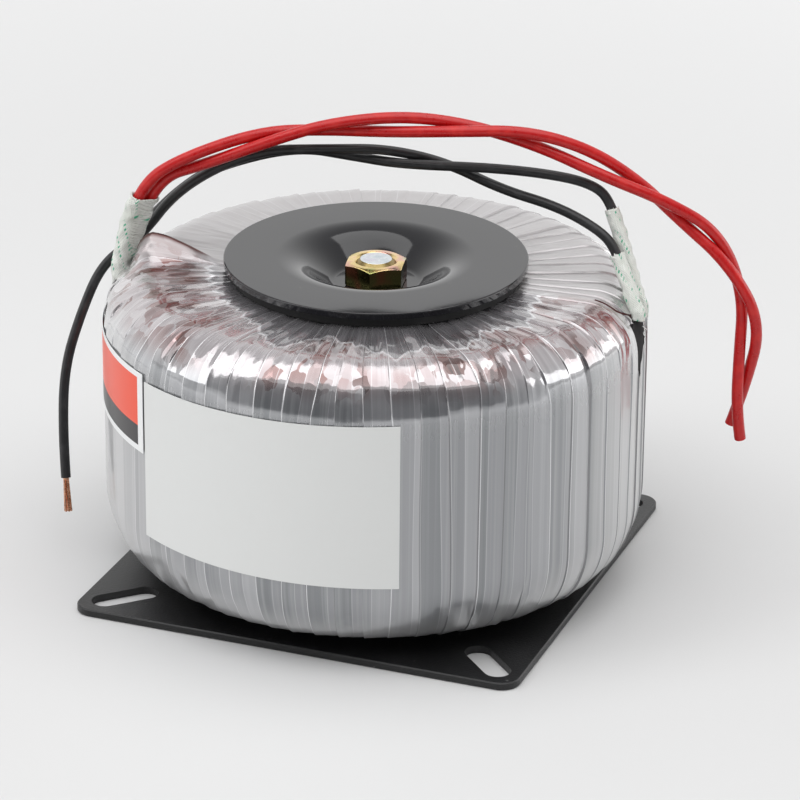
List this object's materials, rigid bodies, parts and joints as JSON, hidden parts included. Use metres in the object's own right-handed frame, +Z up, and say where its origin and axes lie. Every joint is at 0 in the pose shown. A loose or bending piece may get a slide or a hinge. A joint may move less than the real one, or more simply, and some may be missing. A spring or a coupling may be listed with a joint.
{
  "type": "toroidal transformer",
  "caption": "Toroidal mains transformer wrapped in clear film, clamped to a square slotted base plate by a dished washer, bolt and nut, with sleeved flying leads.",
  "frame": {"origin": "centre of the base plate's underside, on the axis of the ring", "axes": "+Z up along the axis of the ring and the clamp bolt; X and Y along the plate's diagonals, so that each of the four slots lies on one of them"},
  "size_m": [0.1732, 0.1656, 0.1216],
  "materials": {
    "plate_black": "satin black powder coat",
    "washer_black": "gloss black paint",
    "yellow_zinc": "yellow passivated zinc, slightly iridescent",
    "white_zinc": "bright zinc",
    "pad_rubber": "matte black rubber",
    "core_steel": "edges of wound steel strip",
    "insulation_film": "pale polyester film and tape",
    "enamelled_copper": "enamelled copper wire",
    "clear_wrap": "clear film in overlapping turns, copper showing through",
    "sleeve_weave": "varnished glass braid with green tracers",
    "red_pvc": "glossy red insulation",
    "black_pvc": "black insulation with a soft sheen",
    "bare_copper": "bright stranded copper",
    "label_white": "white sticker",
    "label_orange": "orange-red and white sticker"
  },
  "bodies": {
    "root": {"base_plate": "plate_black", "clamp_bolt": "white_zinc", "clamp_nut": "yellow_zinc", "dished_washer": "washer_black", "upper_rubber_pad": "pad_rubber", "lower_rubber_pad": "pad_rubber", "core": "core_steel", "core_insulation": "insulation_film", "primary_winding": "enamelled_copper", "winding_insulation": "insulation_film", "secondary_winding": "enamelled_copper", "outer_wrap": "clear_wrap", "red_lead_sleeve": "sleeve_weave", "black_lead_sleeve_front": "sleeve_weave", "black_lead_sleeve_rear": "sleeve_weave", "red_lead_1": "red_pvc", "red_lead_2": "red_pvc", "black_lead_1": "black_pvc", "black_lead_2": "black_pvc", "red_lead_1_conductor": "bare_copper", "red_lead_2_conductor": "bare_copper", "black_lead_1_conductor": "bare_copper", "black_lead_2_conductor": "bare_copper", "rating_label": "label_white", "side_label": "label_orange"}
  },
  "joints": []
}
